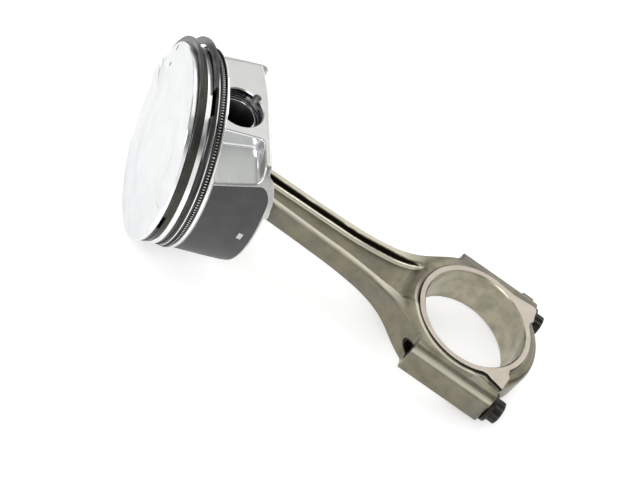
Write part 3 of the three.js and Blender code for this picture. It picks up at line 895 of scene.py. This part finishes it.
def build_clip(name, node, y):
    """A round-wire clip, open at the notch, with its ends rounded off."""
    wire, radius = 0.8, 11.45
    sides, steps = 16, 120
    opening, centre = math.radians(44), math.radians(225)
    rows = []
    for k in range(steps + 1):
        angle = centre + opening / 2 + k / steps * (2 * math.pi - opening)
        thick = wire if 0 < k < steps else 0.7 * wire
        row = []
        for s in range(sides):
            turn = 2 * math.pi * s / sides
            r = radius + thick * math.cos(turn)
            row.append((r * math.cos(angle), y + thick * math.sin(turn), r * math.sin(angle)))
        rows.append(row)
    clip = new_object(name, *skin(rows))
    finish(clip, PISTON, "piston", [node], [CLIP])


def build_bush():
    inner, outer, half = PIN + 0.1, EYE_BORE - 0.02, 10.0
    profile = [(inner, 0.5 - half), (inner + 0.5, -half), (outer - 0.2, -half), (outer, 0.2 - half)]
    profile += [(r, -h) for r, h in reversed(profile)]
    bush = new_object("bush_sleeve", *turned(profile, 128))
    finish(bush, ROD, "rod", ["small_end_bush"], [BRONZE])


# ---- connecting rod and cap ----

# How the beam changes along the rod, as points of x and a half width or half thickness.
HALF_WIDTH = smooth_curve([
    (0, 8.0), (30, 9.1), (48, 9.5), (60, 9.9), (80, 10.9), (91, 12.3), (99, 14.5),
    (104.5, 16.6), (113.5, 22.2), (119, 25.8), (124, 29.0), (132, 30.0), (150, 30.0),
])
RECESS_HALF = smooth_curve([
    (0, 4.5), (37, 5.8), (60, 6.4), (80, 7.2), (91, 8.7), (99, 9.8), (106, 10.7), (112, 11.0),
])
BEAM_FACE = smooth_curve([
    (0, 6.5), (92, 6.5), (99, 6.8), (106, 7.8), (113, 9.0), (133, 8.8), (150, 8.6),
])
WEB_FACE = smooth_curve([
    (0, 2.2), (80, 2.2), (92, 2.3), (99, 2.9), (104, 4.3), (107.5, 6.1), (110, 7.9),
    (112.5, 9.6), (120, 12), (150, 12),
])
BEAM_END = 150

# Half section through a bolt boss: distance from the rod's middle line and half thickness.
BOSS_SECTION = [
    (15, -1), (35.8, -1), (35.8, 5.4), (35.1, 5.9), (35.0, 7.6), (34.2, 8.6), (32.5, 9.4),
    (29, 9.6), (24, 9.1), (15, 8.5),
]
BOLT_BOSS_START = CENTRES - 18.5
BOLT_BOSS_END = CENTRES + 24.5

# The two thrust-face ears: distance beyond the split plane and from the rod's middle line.
NEAR_EAR = [
    (2, 20), (12.6, 25.4), (16, 25.0), (18.4, 26.1), (20.9, 26.6), (24.6, 27.7), (24.9, 23.7),
    (25.6, 19.5), (24.4, 17.9), (24.3, 15.5), (22, 12),
]
FAR_EAR = [
    (2, 20), (6, 28.0), (11.2, 27.3), (16.1, 27.7), (21.6, 28.4), (24.0, 27.9), (24.4, 26),
    (24.6, 22.8), (25.1, 20), (24.1, 18.7), (23.8, 16.9), (24.2, 15), (22, 12),
]
THRUST_RING = 28.8  # outer radius of the thrust faces


def thrust_outline(along, y):
    """Distance outside the outline of the raised thrust faces round the big end."""
    ay = np.abs(y)
    ears = np.where(y < 0, polygon_field(along, ay, NEAR_EAR), polygon_field(along, ay, FAR_EAR))
    return np.minimum(np.hypot(along, y) - THRUST_RING, ears - 0.2)


def rod_field(x, y, z):
    """The forging of rod and cap in one, before it is bored, faced and split."""
    ay, az = np.abs(y), np.abs(z)
    along = x - CENTRES
    beam = soft_max((ay - HALF_WIDTH(x)) * 0.9, az - BEAM_FACE(x), 1.5)
    beam = np.maximum(beam, np.maximum(x - BEAM_END, 4 - x))
    recess = soft_max(ay - RECESS_HALF(x), WEB_FACE(x) - az, 3.2)
    recess = soft_max(recess, 17 - x, 2.0)
    beam = soft_max(beam, -recess, 0.7)
    eye = soft_max(np.hypot(x, y) - 16.5, az - 10.3, 1.2)
    hub_radius = np.where(along > 0, 34.4, 32.5)
    hub_half = 9.4 - 0.8 * smooth_step(along, -24, 0)
    hub = soft_max(np.maximum(np.hypot(along, y) - hub_radius, ay - 30), az - hub_half, 3.0)
    body = soft_min(soft_min(beam, eye, 5.0), hub, 5.0)
    # The recess runs out over the hub, where its edge gets rounder.
    body = soft_max(body, -recess, 0.7 + 3.3 * smooth_step(x, 102, 109))
    boss = polygon_field(ay, az, BOSS_SECTION) - 0.2
    boss = soft_max(boss, soft_max(BOLT_BOSS_START - x, x - BOLT_BOSS_END, 0.5), 0.8)
    body = np.maximum(soft_min(body, boss, 1.2), ay - 36)
    # A small raised pad on the far side of the cap.
    pad = soft_max(np.abs(along - 18.8) - 3.2, np.abs(z - 4.5) - 3.5, 0.6)
    pad = np.maximum(soft_max(pad, y - 36.8, 0.6), 30 - y)
    body = soft_min(body, pad, 0.5)
    faces = np.maximum(thrust_outline(along, y), az - 11.9)
    return soft_min(body, faces, 1.4)


def bore_cutter(radius, half, chamfer):
    """A cutter for a bore with a chamfer at each end."""
    side = [(radius, half - chamfer), (radius + chamfer, half), (radius + chamfer, half + 5)]
    mirrored = [(r, -h) for r, h in reversed(side)]
    return solid_of_turn([(0, -half - 5)] + mirrored + side + [(0, half + 5)], 192)


def bolt_hole():
    """The outline of a bolt's hole, with a few threads at its open end in the rod."""
    crest, root, clearance = 3.3, 4.0, 4.15
    outline = [(0, -23), (crest, -23)]
    for turn in range(5):
        outline += [(root, -22.4 + turn * PITCH), (crest, -21.8 + turn * PITCH)]
    return outline + [(clearance, -16.5), (clearance, 30), (0, 30)]


def build_rod():
    """One forging, cut in two at the split plane and then machined as rod and as cap."""
    points, quads = surface(rod_field, (-18.5, -38, -12.5), (CENTRES + 36.5, 38, 12.5))
    far = 60
    seat = [(0, SEAT_CUT), (7.9, SEAT_CUT), (7.9, 40), (0, 40)]
    for name, node, low, high in (
        ("rod_forging", "connecting_rod", -40, CENTRES - SPLIT_GAP),
        ("cap_forging", "rod_cap", CENTRES + SPLIT_GAP, CENTRES + far),
    ):
        piece = new_object(name, points, quads)
        outline = [(low, -far), (high, -far), (high, far), (low, far)]
        cut(piece, prism(outline, -THRUST_HALF, THRUST_HALF), operation="INTERSECT")
        cut(piece, bore_cutter(BORE, THRUST_HALF, 0.7), shift(CENTRES, 0, 0))
        for side in (1, -1):
            axis = shift(CENTRES, side * BOLT_OFFSET, 0) @ rotation(90, "Y")
            cut(piece, solid_of_turn(bolt_hole(), 48), axis)
            if node == "rod_cap":
                cut(piece, solid_of_turn(seat, 64), axis)
        if node == "connecting_rod":
            cut(piece, bore_cutter(EYE_BORE, 10.3, 0.4))
        finishes = [FORGED, GROUND, BORED]
        finish(piece, ROD, "rod", [node], finishes, choose_rod, shade=rod_shade)


def choose_rod(at, facing):
    """The faces that are ground or bored; a later rule beats an earlier one."""
    x, y, z = at
    az, up = np.abs(z), np.abs(facing[2])
    crank, eye = np.hypot(x - CENTRES, y), np.hypot(x, y)
    yield GROUND, (az > THRUST_HALF - 0.1) & (up > 0.9)
    yield BORED, (crank < BORE + 0.8) & (up < 0.9)
    yield GROUND, (eye < 17) & (az > 10.2)
    yield BORED, (eye < 13.1) & (up < 0.9)


def recess_shade(x, y, below, inward, up):
    """Painted shade on the walls and floor of the beam's recess, with a painted highlight on the
    fillet between them.
    """
    inside = smooth_step(below, 0.2, 0.9) * smooth_step(RECESS_HALF(x) + 0.9 - np.abs(y), 0, 0.5)
    wall = smooth_step(inward, 0.62, 0.86)
    floor = 0.34 * smooth_step(up, 0.95, 0.99)
    fillet = smooth_step(inward, 0.06, 0.2) * smooth_step(inward, 0.84, 0.68)
    recess = np.where(fillet > 0.2, -fillet, np.maximum(wall, floor))
    return inside, inside * smooth_step(x, 111.5, 108) * recess


def rod_shade(at, facing):
    """From -1, the brightest painted highlight, to 1, the darkest painted shade, at each point of the
    rod.
    """
    x, y, z = at
    az = np.abs(z)
    along = x - CENTRES
    inward = -facing[1] * np.sign(y)
    up = np.abs(facing[2])
    # The beam: painted shade in its recess, on its flanks and in the bolts' open holes, and painted
    # highlights on the rims of its face.
    below = BEAM_FACE(x) - az
    inside, recess = recess_shade(x, y, below, inward, up)
    flank = 0.2 * smooth_step(-inward, 0.5, 0.9)
    hole = smooth_step(4.6 - np.hypot(np.abs(y) - BOLT_OFFSET, z), 0.1, 0.5)
    dark = np.maximum(np.maximum(recess, flank), hole)
    shade = np.where(dark > 0.02, dark, recess)
    rim = smooth_step(up, 0.8, 0.95) * smooth_step(below, 0.35, 0.1) * smooth_step(x, 112, 98)
    shade = np.where(inside < 0.1, shade - 0.75 * rim, shade)
    # The thrust faces: painted shade on the wall all round them, and a painted highlight on the
    # fillet at their foot on the near side.
    outside = thrust_outline(along, y)
    wall = smooth_step(outside, 0.75, 0.35) * smooth_step(az, 9.5, 9.9)
    wall = wall * smooth_step(up, 0.97, 0.9)
    wall = wall * smooth_step(np.hypot(along, y), BORE + 1.2, BORE + 1.8)
    foot = smooth_step(outside, 0.7, 1.0) * smooth_step(outside, 2.3, 1.5) * smooth_step(az, 7, 8)
    foot = foot * smooth_step(y, 6, -4) * smooth_step(along, 26, 20)
    shade = np.where(wall > 0.02, wall, shade - foot)
    # Painted shade on the far bolt boss and on the cap's end.
    far_boss = 0.55 * smooth_step(y, 20, 30) * smooth_step(x, BOLT_BOSS_START - 6, BOLT_BOSS_START)
    tail = 0.4 * smooth_step(along, 17, 26) * smooth_step(outside, 0.5, 1.0)
    painted_far_shade = np.maximum(far_boss, tail) * smooth_step(outside, 0.2, 0.8)
    shade = np.where(painted_far_shade > 0.02, np.maximum(shade, painted_far_shade), shade)
    # A painted highlight along the upper edge of the near bolt boss.
    edge = smooth_step(np.abs(y + 35.1), 0.55, 0.25) * smooth_step(z, 5.0, 5.6)
    edge = edge * smooth_step(x, BOLT_BOSS_START - 1, BOLT_BOSS_START + 0.5)
    return np.clip(shade - 0.8 * edge, -1, 1)


# ---- bolts ----

BOLT_LENGTH = SEAT_CUT + 18.5  # under the flange
THREAD_TOP = -22.0
THREAD_ROOT, THREAD_DEPTH = 3.2, 0.65
SHANK = [(3.5, THREAD_TOP), (3.5, -0.6), (3.9, 0)]
FLANGE = [(7.2, 0), (7.4, 0.2), (7.4, 1.5), (7.1, 1.9), (6.0, 2.4)]
STAR_INNER, STAR_DEPTH = 4.95, 0.75
HEAD = [(2.45, 0), (6.1, 0), (6.65, 0.45)]  # height, and how far the star is drawn in
HEAD_HOLLOW = [(4.5, 6.85), (3.4, 6.85), (3.0, 6.6), (2.8, 5.9), (0.01, 5.8)]


def build_bolt(name, node, side):
    """A flanged twelve-point bolt with a real thread, its seat at z = 0."""
    sides = 96
    rows = [[(0.01, -BOLT_LENGTH)] * sides, [(2.9, -BOLT_LENGTH)] * sides]
    z = -BOLT_LENGTH + 0.3
    while z < THREAD_TOP:
        fade = min(1, (z + BOLT_LENGTH) / 1.2, (THREAD_TOP - z) / 1.2)
        row = []
        for s in range(sides):
            phase = (z / PITCH + s / sides) % 1
            crest = 1 - abs(2 * phase - 1)
            row.append((THREAD_ROOT + THREAD_DEPTH * crest * fade, z))
        rows.append(row)
        z += PITCH / 8
    rows += [[point] * sides for point in SHANK + FLANGE]
    for height, drawn_in in HEAD:
        row = []
        for s in range(sides):
            tooth = abs(((s * 12 / sides) % 1) - 0.5) * 2
            row.append((STAR_INNER + STAR_DEPTH * tooth**1.4 - drawn_in, height))
        rows.append(row)
    rows += [[point] * sides for point in HEAD_HOLLOW]
    angles = [2 * math.pi * s / sides for s in range(sides)]
    rows = [[(r * math.cos(a), r * math.sin(a), h) for (r, h), a in zip(row, angles)] for row in rows]
    axis = shift(CENTRES + BOLT_SEAT, side * BOLT_OFFSET, 0) @ rotation(90, "Y")
    bolt = new_object(name, *skin(rows), axis)
    finish(bolt, ROD, "rod", [node], [BLACK_OXIDE], sharp=28)


# ---- build it all ----

build_piston()
build_coating("coating_thrust", 1)
build_coating("coating_plain", -1)
build_rings()
build_pin()
build_clip("clip_front", "circlip_front", CLIP_AT)
build_clip("clip_rear", "circlip_rear", -CLIP_AT)
build_bush()
build_rod()
build_bolt("bolt_near", "rod_bolt_near", -1)
build_bolt("bolt_far", "rod_bolt_far", 1)

# ---- floor, light and camera ----

LIGHT_AIM = Vector((0, 0, 0.03))
LENS = 84.7
CAMERA_PLACE = (37.6, -493.3, 485.3)  # in the rod frame, as are the two directions
CAMERA_RIGHT = (0.8192, 0.3822, 0.4277)
CAMERA_UP = (-0.5723, 0.5931, 0.5662)


def floor_material():
    """White paper on a light table: it glows a little, so only faint shadows stay on it."""
    material = bpy.data.materials.new("floor_pale")
    material.use_nodes = True
    shader = material.node_tree.nodes["Principled BSDF"]
    shader.inputs["Base Color"].default_value = (0.95, 0.95, 0.945, 1)
    shader.inputs["Roughness"].default_value = 0.7
    shader.inputs["Emission Color"].default_value = (1, 1, 1, 1)
    shader.inputs["Emission Strength"].default_value = 0.4
    return material


def build_floor():
    half = 3.0  # metres
    floor = new_object(
        "floor",
        [(-half, -half, 0), (half, -half, 0), (half, half, 0), (-half, half, 0)],
        [(0, 1, 2, 3)],
    )
    floor.data.materials.append(floor_material())
    floor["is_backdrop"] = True


def add_softbox(name, place, size, power, colour=(1, 1, 1)):
    """A rectangular light, aimed at the middle of the object."""
    data = bpy.data.lights.new(name, "AREA")
    data.shape = "RECTANGLE"
    data.size, data.size_y = size
    data.energy = power
    data.color = colour
    light = add_object(name, data)
    light.location = place
    light.rotation_euler = (LIGHT_AIM - Vector(place)).to_track_quat("-Z", "Y").to_euler()


def build_light():
    """Four soft boxes, in a room with brighter and darker patches for the metal to reflect."""
    world = bpy.data.worlds.new("studio")
    world.use_nodes = True
    tree = world.node_tree
    direction = tree.nodes.new("ShaderNodeTexCoord")
    patches = tree.nodes.new("ShaderNodeTexNoise")
    patches.inputs["Scale"].default_value = 1.7
    patches.inputs["Detail"].default_value = 1.0
    level = tree.nodes.new("ShaderNodeMapRange")
    set_range(level, 0.38, 0.60, 0.2, 0.95)
    tree.links.new(direction.outputs["Generated"], patches.inputs["Vector"])
    tree.links.new(patches.outputs["Fac"], level.inputs["Value"])
    tree.links.new(level.outputs["Result"], tree.nodes["Background"].inputs["Strength"])
    tree.nodes["Background"].inputs["Color"].default_value = (1, 1, 1, 1)
    bpy.context.scene.world = world
    add_softbox("softbox_top", (0.1, 0.45, 0.9), (1.0, 0.8), 2.2)
    add_softbox("softbox_left", (-0.75, -0.15, 0.45), (0.7, 0.6), 2.0)
    add_softbox("softbox_back", (0.5, 0.8, 0.35), (0.9, 0.4), 2.0)
    beside_camera = ROD @ Vector((20, -480, 560))
    add_softbox("softbox_front", beside_camera, (0.3, 0.3), 1.1, (0.94, 0.96, 1))


def build_camera():
    """The photograph's viewpoint, fitted in the rod frame."""
    data = bpy.data.cameras.new("camera")
    data.lens = LENS
    data.sensor_width = 36
    right = Vector(CAMERA_RIGHT).normalized()
    up = Vector(CAMERA_UP)
    up = (up - right * up.dot(right)).normalized()
    turn = Matrix((right, up, right.cross(up))).transposed()
    camera = add_object("camera", data)
    place = ROD @ Vector(CAMERA_PLACE)
    camera.matrix_world = Matrix.Translation(place) @ (ROD.to_3x3().normalized() @ turn).to_4x4()
    bpy.context.scene.camera = camera


build_floor()
build_light()
build_camera()
bpy.context.scene.view_settings.view_transform = "Standard"

bpy.context.view_layer.update()
visual_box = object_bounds()
boxes = {"cad": cad_box, "visual": visual_box}
{key: [[float(v) for v in corner] for corner in box] for key, box in boxes.items()}
